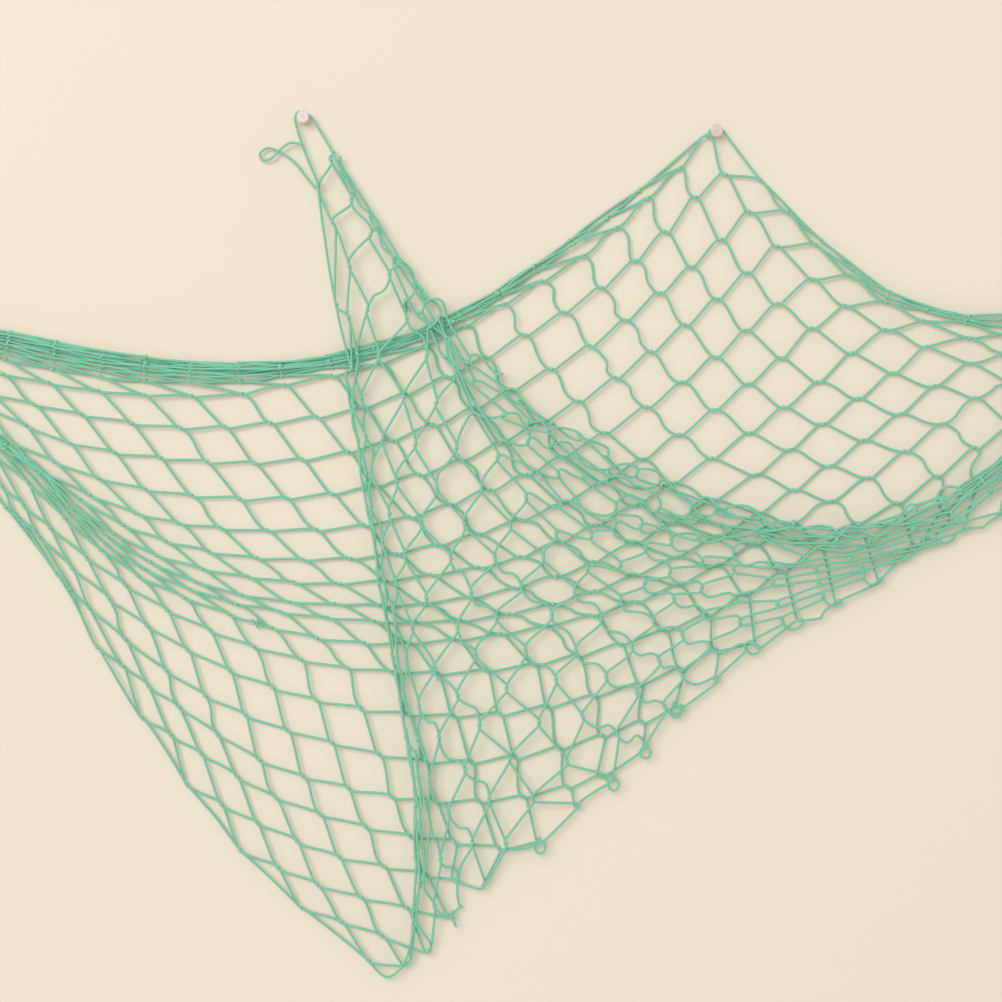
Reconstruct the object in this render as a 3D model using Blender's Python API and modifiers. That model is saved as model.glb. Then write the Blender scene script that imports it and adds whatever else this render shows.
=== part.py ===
"""Decorative fishing net, pinned up and draped on four push pins.

Metres, +Z up. The wall plane is y = 0, its room side is -Y, and the origin lies on the
wall at the axis of the highest middle pin. The net is one knotted diamond mesh. Its rear
layer hangs from the top edge, it turns at a slanting fold, and its front layer rises
again to the second pin. The solid keeps every second strand of the real mesh.
"""
import math

import bmesh
import bpy
import numpy as np

MM = 0.001
TWINE = 2.0               # side of a strand of the solid
MESHES_DEEP = 19          # meshes from the top edge to the bottom edge
MESHES_LEFT = -10         # meshes from the middle pin to the left gather
MESHES_RIGHT = 6          # meshes from the middle pin to the right gather
WIDEST_SHARE = 0.30       # a strand takes at most this share of a cell at each side

REAR_DEPTH = 6.0          # wall to the rear layer
FRONT_DEPTH = 13.0        # wall to the front layer
FOLD_DEPTH = 9.5          # wall to the fold, where the two layers meet
FOLD_BLEND = 24.0         # height over which a layer leans to the fold
REAR_SWELL = 1.2          # soft wave of the rear layer, across the wall
FRONT_SWELL = 1.0         # the same for the front layer
CROSSING_CLEAR = 14.0     # strands that cross closer under the fold end as one
FOLD_RADIUS = 1.5         # the bar chain along the fold
FOLD_SPANS = 44           # straight pieces of that chain
REAR_WAVE = (61.0, 83.0)  # length of a soft wave along X and Z, for each turn of its sine
FRONT_WAVE = (47.0, 71.0)
PIN_LEAN = 90.0           # height over which the front layer leans back to its pin
PIN_STEP = 1.5            # how far before the rear layer it ends there
KNOT_ABOVE_FOLD = 6.0     # a knot of the rear layer lies at least this far above the fold
KNOT_PAST_TIP = 1.0       # or this far left of the tip of the net

FLAP_COLUMNS = 12         # half meshes along the fold
FLAP_ROWS = 10            # half meshes from the fold up to the upper edge

HEAD_RADIUS = 5.0         # push pin: head, waist, collar and needle
HEAD_LENGTH = 2.6
WAIST_RADIUS = 2.5
WAIST_LENGTH = 8.2
COLLAR_RADIUS = 4.2
COLLAR_LENGTH = 2.2
NEEDLE_RADIUS = 0.6
NEEDLE_LENGTH = 9.0
NEEDLE_POINT = 1.5
EDGE_ROUND = 0.8          # rounding of the head and of the waist below it
HEAD_FLARE = 0.6
COLLAR_ROUND = 0.3
COLLAR_FLARE = 1.0
PIN_STEPS = 20
LOOP_HALF_WIDTH = 4.6     # loop of twine that hangs on a waist
LOOP_RADIUS = 1.0
LOOP_TURNS = 8
LOOP_FOOT = 0.15          # meshes from the pin to a foot of its loop, along and down
SEAT_GAP = 0.3

# The pins, in millimetres from the origin
PINS = {
    "left": (-652.0, -131.0),
    "flap": (-330.0, 11.0),
    "middle": (0.0, 0.0),
    "right": (292.0, -131.0),
}

# Rear layer. A row for each depth in meshes below the top edge, a column pair (x, z) for
# each station in meshes along it, in millimetres.
REAR_STATIONS = (-10, -8, -6, -4, -2, 0, 2, 4, 6)
REAR_ROWS = {
    0: ((-660, -146), (-537, -174), (-385, -191), (-233, -157), (-99, -78),
        (-2, -9), (67, -80), (183, -146), (300, -146)),
    3: ((-660, -155), (-534, -181), (-383, -198), (-232, -168), (-121, -145),
        (-25, -154), (78, -160), (202, -165), (300, -160)),
    6: ((-660, -163), (-532, -191), (-379, -210), (-261, -247), (-153, -274),
        (-34, -281), (90, -267), (208, -253), (300, -182)),
    9: ((-660, -172), (-544, -221), (-419, -291), (-293, -339), (-160, -365),
        (-35, -364), (103, -342), (210, -330), (300, -207)),
    12: ((-660, -180), (-568, -254), (-442, -337), (-313, -388), (-185, -431),
         (-91, -484), (30, -464), (150, -438), (300, -270)),
    15: ((-660, -189), (-571, -272), (-465, -360), (-354, -444), (-264, -528),
         (-180, -584), (-60, -576), (70, -550), (300, -360)),
    17: ((-660, -195), (-577, -286), (-486, -374), (-398, -486), (-302, -580),
         (-221, -634), (-100, -630), (30, -610), (300, -420)),
    19: ((-660, -200), (-581, -297), (-509, -389), (-424, -511), (-329, -619),
         (-241, -682), (-130, -680), (0, -660), (300, -480)),
}

# Front layer. A row for each share of the way from the left edge to the right gather, a
# column pair (x, z) for each share of the way from the fold up to the upper edge.
FLAP_STATIONS = (0.0, 0.25, 0.5, 0.75, 1.0)
FLAP_SECTIONS = {
    0.0: ((-243, -658), (-243, -502), (-269, -342), (-297, -158), (-328, -3)),
    0.15: ((-186, -609), (-213, -454), (-237, -310), (-270, -158), (-308, -34)),
    0.3: ((-98, -526), (-137, -406), (-185, -278), (-230, -166), (-273, -82)),
    0.45: ((-13, -446), (-61, -374), (-113, -301), (-166, -224), (-213, -154)),
    0.6: ((67, -390), (19, -362), (-29, -330), (-75, -292), (-117, -246)),
    0.75: ((147, -350), (111, -344), (74, -334), (37, -322), (3, -304)),
    0.9: ((236, -312), (227, -305), (217, -297), (207, -289), (197, -281)),
    1.0: ((300, -232), (300, -217), (300, -202), (300, -187), (300, -172)),
}

# The fold, from the tip to the right gather: a row for each place x, with its height z.
FOLD_PLACES = (
    (-252, -668), (-243, -658), (-213, -628), (-186, -609), (-141, -569), (-112, -540),
    (-85, -517), (-58, -478), (-29, -459), (0, -437), (31, -414), (67, -389),
    (107, -373), (147, -350), (187, -333), (229, -314), (265, -281), (300, -232),
)


def remove_everything():
    for thing in list(bpy.data.objects):
        bpy.data.objects.remove(thing, do_unlink=True)


def new_collection(name):
    collection = bpy.data.collections.new(name)
    bpy.context.scene.collection.children.link(collection)
    return collection


def plain_material(name, colour, roughness):
    material = bpy.data.materials.new(name)
    material.use_nodes = True
    shader = material.node_tree.nodes["Principled BSDF"]
    shader.inputs["Base Color"].default_value = (*colour, 1.0)
    shader.inputs["Roughness"].default_value = roughness
    return material


def slopes(places, values):
    """Slopes of a curve that never swings past its own points."""
    step = np.diff(places)
    secant = np.diff(values) / step
    result = np.zeros(len(values))
    result[0] = secant[0]
    result[-1] = secant[-1]
    for k in range(1, len(values) - 1):
        if secant[k - 1] * secant[k] > 0:
            before = 2 * step[k] + step[k - 1]
            after = step[k] + 2 * step[k - 1]
            result[k] = (before + after) / (before / secant[k - 1] + after / secant[k])
    return result


def blend(places, values, at):
    """Value at one place of the smooth curve through the given points."""
    at = min(max(at, places[0]), places[-1])
    k = int(min(np.searchsorted(places, at, side="right") - 1, len(places) - 2))
    width = places[k + 1] - places[k]
    share = (at - places[k]) / width
    slope = slopes(places, values)
    rise = 1 - share
    return (
        values[k] * (1 + 2 * share) * rise ** 2
        + slope[k] * width * share * rise ** 2
        + values[k + 1] * share ** 2 * (3 - 2 * share)
        - slope[k + 1] * width * share ** 2 * rise
    )


class Cage:
    """A smooth surface through a table of stations and rows."""

    def __init__(self, stations, rows):
        self.stations = np.array(stations, dtype=float)
        self.levels = np.array(list(rows.keys()), dtype=float)
        self.points = np.array(list(rows.values()), dtype=float)

    def at(self, station, level):
        result = []
        for axis in range(2):
            line = [blend(self.stations, row[:, axis], station) for row in self.points]
            result.append(blend(self.levels, np.array(line), level))
        return np.array(result)


REAR = Cage(REAR_STATIONS, REAR_ROWS)
FLAP = Cage(FLAP_STATIONS, FLAP_SECTIONS)
FOLD_X = np.array([place[0] for place in FOLD_PLACES], dtype=float)
FOLD_Z = np.array([place[1] for place in FOLD_PLACES], dtype=float)


def fold_height(x):
    return blend(FOLD_X, FOLD_Z, x)


def rear_spot(a, b):
    """Place of a point of the rear layer, from its two strand numbers."""
    return REAR.at(a + b, b - a)


def flap_spot(a, b):
    """Place of a point of the front layer, from its two strand numbers."""
    return FLAP.at((b - a) / FLAP_ROWS, (a + b) / FLAP_COLUMNS)


def ease(share):
    share = min(max(share, 0.0), 1.0)
    return share * share * (3 - 2 * share)


def rear_depth(spot):
    near_fold = 1 - ease((spot[1] - fold_height(spot[0])) / FOLD_BLEND)
    if spot[0] < FOLD_X[0]:
        near_fold = 0.0
    wave = REAR_SWELL * math.sin(spot[0] / REAR_WAVE[0]) * math.cos(spot[1] / REAR_WAVE[1])
    return (REAR_DEPTH + wave) * (1 - near_fold) + FOLD_DEPTH * near_fold


def flap_depth(spot):
    near_fold = 1 - ease((spot[1] - fold_height(spot[0])) / FOLD_BLEND)
    near_pin = 1 - ease(-spot[1] / PIN_LEAN)
    wave = FRONT_SWELL * math.sin(spot[0] / FRONT_WAVE[0] + 1) * math.cos(spot[1] / FRONT_WAVE[1])
    depth = FRONT_DEPTH + wave
    depth += (REAR_DEPTH + PIN_STEP - depth) * near_pin
    return depth * (1 - near_fold) + FOLD_DEPTH * near_fold


class Strips:
    """The strands of one layer, as a surface with a hole for each mesh."""

    def __init__(self, spot, depth):
        self.spot = spot
        self.depth = depth
        self.mesh = bmesh.new()

    def half_widths(self, a, b):
        """Half a strand's width, in strand numbers, across each of the two strands."""
        step = 0.05
        along_a = (self.spot(a + step, b) - self.spot(a - step, b)) / (2 * step)
        along_b = (self.spot(a, b + step) - self.spot(a, b - step)) / (2 * step)
        area = abs(along_a[0] * along_b[1] - along_a[1] * along_b[0])
        across_a = TWINE / 2 * np.hypot(*along_b) / max(area, 1e-6)
        across_b = TWINE / 2 * np.hypot(*along_a) / max(area, 1e-6)
        return min(across_a, WIDEST_SHARE), min(across_b, WIDEST_SHARE)

    def vertex(self, a, b):
        place = self.spot(a, b)
        return self.mesh.verts.new((place[0] * MM, -self.depth(place) * MM, place[1] * MM))

    def knot(self, a, b):
        """Four corners of a knot, in the order (-,-) (+,-) (+,+) (-,+)."""
        wide_a, wide_b = self.half_widths(a, b)
        signs = ((-1, -1), (1, -1), (1, 1), (-1, 1))
        corners = [self.vertex(a + s * wide_a, b + t * wide_b) for s, t in signs]
        self.mesh.faces.new(corners)
        return corners

    def bar(self, knots, start, toward, stop):
        """One bar from a knot, bent at its middle, to the next knot or to the fold."""
        a, b = start
        da, db = toward
        corners = knots[start]
        if da:
            left, right = corners[1], corners[2]
        else:
            left, right = corners[2], corners[3]
        end = (a + da, b + db)
        places = [0.5] if stop > 0.6 else []
        if end not in knots:
            places.append(stop)
        for share in places:
            mid_a = a + da * share
            mid_b = b + db * share
            wide_a, wide_b = self.half_widths(mid_a, mid_b)
            if da:
                new_left = self.vertex(mid_a, mid_b - wide_b)
                new_right = self.vertex(mid_a, mid_b + wide_b)
            else:
                new_left = self.vertex(mid_a + wide_a, mid_b)
                new_right = self.vertex(mid_a - wide_a, mid_b)
            self.mesh.faces.new((left, new_left, new_right, right))
            left, right = new_left, new_right
        if end in knots:
            far = knots[end]
            last = (far[0], far[3]) if da else (far[1], far[0])
            self.mesh.faces.new((left, last[0], last[1], right))

    def closed(self, name):
        """The surface, given its thickness across the wall."""
        bmesh.ops.recalc_face_normals(self.mesh, faces=self.mesh.faces)
        grown = bmesh.ops.extrude_face_region(self.mesh, geom=self.mesh.faces[:])
        front = [item for item in grown["geom"] if isinstance(item, bmesh.types.BMVert)]
        bmesh.ops.translate(self.mesh, verts=front, vec=(0, -TWINE * MM, 0))
        bmesh.ops.recalc_face_normals(self.mesh, faces=self.mesh.faces)
        mesh = bpy.data.meshes.new(name)
        self.mesh.to_mesh(mesh)
        self.mesh.free()
        return bpy.data.objects.new(name, mesh)


def fold_share(spot, start, toward):
    """How far along a bar the fold crosses it, with a short way past it."""
    low, high = 0.0, 1.0
    for _ in range(12):
        middle = (low + high) / 2
        place = spot(start[0] + toward[0] * middle, start[1] + toward[1] * middle)
        if over_fold(place):
            low = middle
        else:
            high = middle
    return low


def over_fold(place):
    return place[0] < FOLD_X[0] or place[1] > fold_height(place[0])


def rear_knots():
    """Strand numbers of each knot of the rear layer that lies above the fold."""
    found = []
    for across in range(MESHES_LEFT, MESHES_RIGHT + 1):
        for down in range(0, MESHES_DEEP + 1):
            if (across + down) % 2:
                continue
            a = (across - down) // 2
            b = (across + down) // 2
            place = rear_spot(a, b)
            above = place[1] > fold_height(place[0]) + KNOT_ABOVE_FOLD
            if above or place[0] < FOLD_X[0] - KNOT_PAST_TIP:
                found.append((a, b))
    return found


def runs_clear(end, knots):
    """Whether two strands that cross beyond the fold are well apart on it."""
    place = rear_spot(*end)
    alone = (end[0], end[1] - 1) not in knots
    return alone or fold_height(place[0]) - place[1] > CROSSING_CLEAR


def make_rear():
    strips = Strips(rear_spot, rear_depth)
    knots = {key: strips.knot(*key) for key in rear_knots()}
    for key in knots:
        for toward in ((1, 0), (0, 1)):
            end = (key[0] + toward[0], key[1] + toward[1])
            across = end[0] + end[1]
            down = end[1] - end[0]
            if end in knots:
                strips.bar(knots, key, toward, 1.0)
            elif 0 <= down <= MESHES_DEEP and across <= MESHES_RIGHT:
                if toward[1] or runs_clear(end, knots):
                    strips.bar(knots, key, toward, fold_share(rear_spot, key, toward))
    return strips.closed("rear_layer")


def make_flap():
    strips = Strips(flap_spot, flap_depth)
    knots = {}
    for across in range(0, FLAP_COLUMNS + 1):
        for down in range(0, FLAP_ROWS + 1):
            if (across + down) % 2 == 0:
                key = ((across - down) // 2, (across + down) // 2)
                knots[key] = strips.knot(*key)
    for key in knots:
        for toward in ((1, 0), (0, 1)):
            end = (key[0] + toward[0], key[1] + toward[1])
            if end in knots:
                strips.bar(knots, key, toward, 1.0)
    return strips.closed("front_layer")


def tube(name, points, radius):
    """A round cord through the points, as a closed mesh."""
    curve = bpy.data.curves.new(name, "CURVE")
    curve.dimensions = "3D"
    curve.bevel_depth = radius * MM
    curve.bevel_resolution = 2
    curve.use_fill_caps = True
    spline = curve.splines.new("POLY")
    spline.points.add(len(points) - 1)
    for point, place in zip(spline.points, points):
        point.co = (place[0] * MM, place[1] * MM, place[2] * MM, 1.0)
    holder = bpy.data.objects.new(name, curve)
    bpy.context.scene.collection.objects.link(holder)
    bpy.context.view_layer.update()
    ready = holder.evaluated_get(bpy.context.evaluated_depsgraph_get())
    mesh = bpy.data.meshes.new_from_object(ready)
    shape = bmesh.new()
    shape.from_mesh(mesh)
    bmesh.ops.remove_doubles(shape, verts=shape.verts, dist=0.00001)
    bmesh.ops.recalc_face_normals(shape, faces=shape.faces)
    shape.to_mesh(mesh)
    shape.free()
    bpy.data.objects.remove(holder, do_unlink=True)
    return bpy.data.objects.new(name, mesh)


def make_fold():
    points = []
    for k in range(FOLD_SPANS + 1):
        x = FOLD_X[0] + (FOLD_X[-1] - FOLD_X[0]) * k / FOLD_SPANS
        points.append((x, -FOLD_DEPTH - TWINE / 2, fold_height(x)))
    return tube("fold", points, FOLD_RADIUS)


def loop_points(pin, depth, left, right):
    """An arch over a pin's waist, with its two feet on the net."""
    x, z = pin
    top = z + WAIST_RADIUS + SEAT_GAP + LOOP_RADIUS
    points = [(left[0], -left[1], left[2])]
    for k in range(LOOP_TURNS + 1):
        angle = math.pi * (1 - k / LOOP_TURNS)
        wide = LOOP_HALF_WIDTH + LOOP_RADIUS
        height = top - wide + wide * math.sin(angle)
        points.append((x + wide * math.cos(angle), -depth, height))
    points.append((right[0], -right[1], right[2]))
    return points


def make_loops():
    """A loop of twine over each pin, joined to the net at both feet."""
    centre = TWINE / 2
    wide = 2 * LOOP_FOOT
    seats = {
        "middle": (REAR.at(-LOOP_FOOT, LOOP_FOOT), REAR.at(LOOP_FOOT, LOOP_FOOT)),
        "left": (REAR.at(MESHES_LEFT, 0), REAR.at(MESHES_LEFT + wide, wide)),
        "right": (REAR.at(MESHES_RIGHT - wide, wide), REAR.at(MESHES_RIGHT, 0)),
        "flap": (FLAP.at(1.0, 0.0), FLAP.at(0.96, 0.4 / FLAP_COLUMNS)),
    }
    loops = []
    for name, (left, right) in seats.items():
        side = rear_depth if name != "flap" else flap_depth
        feet = [(spot[0], side(spot) + centre, spot[1]) for spot in (left, right)]
        depth = REAR_DEPTH + centre
        loops.append(tube(f"loop_{name}", loop_points(PINS[name], depth, *feet), LOOP_RADIUS))
    return loops


def make_net(collection, cutters, material):
    """Both layers, the fold and the pin loops, joined into one body."""
    net = make_rear()
    net.name = "net"
    net.data.name = "net"
    collection.objects.link(net)
    for piece in [make_flap(), make_fold()] + make_loops():
        cutters.objects.link(piece)
        piece.hide_render = True
        piece.display_type = "WIRE"
        join = net.modifiers.new(f"join_{piece.name}", "BOOLEAN")
        join.operation = "UNION"
        join.solver = "EXACT"
        join.object = piece
    net.data.materials.append(material)
    return net


def make_pin(name, place, collection, material):
    """A push pin, turned about its own axis, its collar flat on the wall."""
    collar = COLLAR_LENGTH
    waist = collar + WAIST_LENGTH
    head = waist + HEAD_LENGTH
    profile = (
        (0.0, head), (HEAD_RADIUS - EDGE_ROUND, head), (HEAD_RADIUS, head - EDGE_ROUND),
        (HEAD_RADIUS, waist + HEAD_FLARE), (WAIST_RADIUS + HEAD_FLARE, waist),
        (WAIST_RADIUS, waist - EDGE_ROUND), (WAIST_RADIUS, collar + COLLAR_FLARE),
        (COLLAR_RADIUS - COLLAR_ROUND, collar + COLLAR_ROUND),
        (COLLAR_RADIUS, collar - COLLAR_ROUND), (COLLAR_RADIUS, 0.0), (NEEDLE_RADIUS, 0.0),
        (NEEDLE_RADIUS, NEEDLE_POINT - NEEDLE_LENGTH), (0.0, -NEEDLE_LENGTH),
    )
    mesh = bpy.data.meshes.new(name)
    points = [(radius * MM, 0.0, height * MM) for radius, height in profile]
    edges = [(k, k + 1) for k in range(len(points) - 1)]
    mesh.from_pydata(points, edges, [])
    pin = bpy.data.objects.new(name, mesh)
    collection.objects.link(pin)
    turn = pin.modifiers.new("turn", "SCREW")
    turn.axis = "Z"
    turn.steps = PIN_STEPS
    turn.render_steps = PIN_STEPS
    turn.use_merge_vertices = True
    turn.merge_threshold = 0.00001
    turn.use_smooth_shade = True
    pin.rotation_euler = (math.radians(90), 0.0, 0.0)
    pin.location = (place[0] * MM, 0.0, place[1] * MM)
    pin.data.materials.append(material)
    return pin


def main():
    remove_everything()
    collection = new_collection("fishing_net")
    cutters = new_collection("joined_pieces")
    twine = plain_material("twine", (0.16, 0.55, 0.38), 0.85)
    clear = plain_material("clear_plastic", (0.92, 0.88, 0.86), 0.12)
    make_net(collection, cutters, twine)
    for name, place in PINS.items():
        make_pin(f"pin_{name}", place, collection, clear)


main()
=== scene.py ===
import math

import bpy
import numpy as np
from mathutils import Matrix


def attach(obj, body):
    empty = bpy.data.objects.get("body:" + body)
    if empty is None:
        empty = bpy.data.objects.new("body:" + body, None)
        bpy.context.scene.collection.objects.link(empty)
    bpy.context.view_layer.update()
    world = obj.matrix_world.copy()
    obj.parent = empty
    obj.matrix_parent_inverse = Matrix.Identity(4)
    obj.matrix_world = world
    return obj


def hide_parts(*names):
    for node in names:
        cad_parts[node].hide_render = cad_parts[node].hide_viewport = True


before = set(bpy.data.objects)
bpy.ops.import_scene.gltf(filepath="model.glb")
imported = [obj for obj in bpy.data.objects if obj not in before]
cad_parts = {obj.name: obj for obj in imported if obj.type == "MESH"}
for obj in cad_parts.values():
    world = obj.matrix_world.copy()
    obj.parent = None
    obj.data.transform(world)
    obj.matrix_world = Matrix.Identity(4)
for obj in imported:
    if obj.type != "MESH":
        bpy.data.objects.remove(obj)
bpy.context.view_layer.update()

MM = 0.001

# Twine, knots and the count of meshes
BAR = 36.5                # twine from knot to knot
EDGE_LOOP = 73.0          # twine of a loop along the bound edges
TWINE_RADIUS = 1.0
KNOT_HALF = 2.6           # half the length of a knot
KNOT_RADIUS = 1.45
KNOT_TURNS = 1.5          # turns of the twine within a knot
KNOT_COIL = 0.62          # how far those turns stand off the knot's axis
KNOT_ENDS = (0.14, 0.86)  # part of a half wave that gives a knot its rounded ends
KNOT_ROUND = 0.6
MESHES_DEEP = 19
SIDE_EDGE = 10            # meshes from the middle pin to the side edge of the net
BUNDLE_ROWS = 10          # strands of the bundle that hangs left of the middle pin
FLAP_TOP_ROW = 28         # last knot of the front layer, below the flap's pin
FLAP_STRAND = -10         # first of the strands that end there

# Distances from the wall
REAR_DEPTH = 6.0
FOLD_DEPTH = 9.5
FRONT_DEPTH = 13.0
FOLD_BLEND = 34.0         # way over which a layer leans to the fold
REAR_RIPPLE = (1.1, 61.0, 83.0, 0.0)    # height, run across, run down and start of a wave
FRONT_RIPPLE = (1.0, 47.0, 71.0, 1.0)
DEPTH_NOISE = 0.5
BUNDLE_SPREAD = 2.5       # how far the bundle's knots lie before and behind its middle
FLAP_TOP_BLEND = 90.0     # way over which the flap leans back to the wall below its pin
FLAP_TOP_LIFT = 1.5

# Tubes
BAR_STEPS = 10            # pieces in the tube of a bar
FINE_STEPS = 16           # points that a bar is measured by
KNOT_STEPS = 9
LOOP_STEPS = 40
TUBE_SIDES = 6
WRAP_SIDES = 8            # of knots, bindings and the loops over the outer pins
LOOP_SIDES = 10
HAIR_SIDES = 4

# How bars leave their knots
REAR_LEAN = 0.45          # how far a bar follows its knots' own directions, 0 to 1
FRONT_LEAN = 0.55
EDGE_LEAN = 0.15
LEAVE_NOISE = 0.12
SAG = 0.35                # pull of a slack bar's own weight
LONGEST_LEAVE = 3.2       # of the search for a bar's curve, beside its twine
HALVINGS = 22
KNOT_FLAT = 0.3           # how far a knot may point off the wall
KNOT_TURN = 0.22          # how unevenly knots are turned
DRAWN_TURN = 1.3          # and what drawn meshes add to it
OPEN_BOW = 0.8            # how far a slack front bar bows to one side: in open meshes,
DRAWN_BOW = 3.2           # and in drawn ones

# Most slack that a bar may show, as a share of its span
TAUT = 1.0008             # length of a taut bar beside its span
REAR_RISING_GIVE = (0.003, 0.010)       # at least, and what a bowed place adds
REAR_FALLING_GIVE = (0.010, 0.075)
BOWED_MIDDLE = -130.0     # bowed place: its middle across, reach and rows down
BOWED_REACH = 90.0
BOWED_ROWS = 12.0
LOWER_GIVE = 0.09         # what the rows above the fold add, right of the middle pin
LOWER_ROWS = (8, 3.0)     # first of those rows, and the rows over which it starts
LOWER_ACROSS = (30.0, 60.0)
RISING_GIVE = 0.012       # of the front layer
FALLING_GIVE = 0.10
FOLD_GIVE = 0.30
DRAWN_GIVE = 0.12         # where its meshes are drawn together along the side edge
BUNDLE_GIVE = 0.02
EDGE_GIVE = 0.002
UNEVEN_GIVE = (0.2, 2.0)  # least and most of the drawn bars' share of their slack

# How the front layer is drawn and settled
DRAWN_MESHES = 5          # meshes beside the side edge that are drawn together
DRAWN_BLEND = 2.5
UNEVEN_OPEN = 1.6         # how far a front knot strays: in open meshes, and in drawn ones
UNEVEN_DRAWN = 3.2
SETTLE_ROUNDS = 700
SETTLE_SAG = 0.05         # fall of a knot in a round
SETTLE_HOLD = 0.02        # how far it is drawn back to its first place
MESH_GAP = 4.5            # least way between facing knots of a mesh
PUSH = 1.4                # how far past a knot's share it is moved
RANDOM = np.random.default_rng(11)

# The photograph's own places: its scale, and where the middle pin stands in it
PIXEL_MM = 0.80
MIDDLE_PIN_PX = (716.0, 132.0)
PHOTO_WIDTH_PX = 1002

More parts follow.
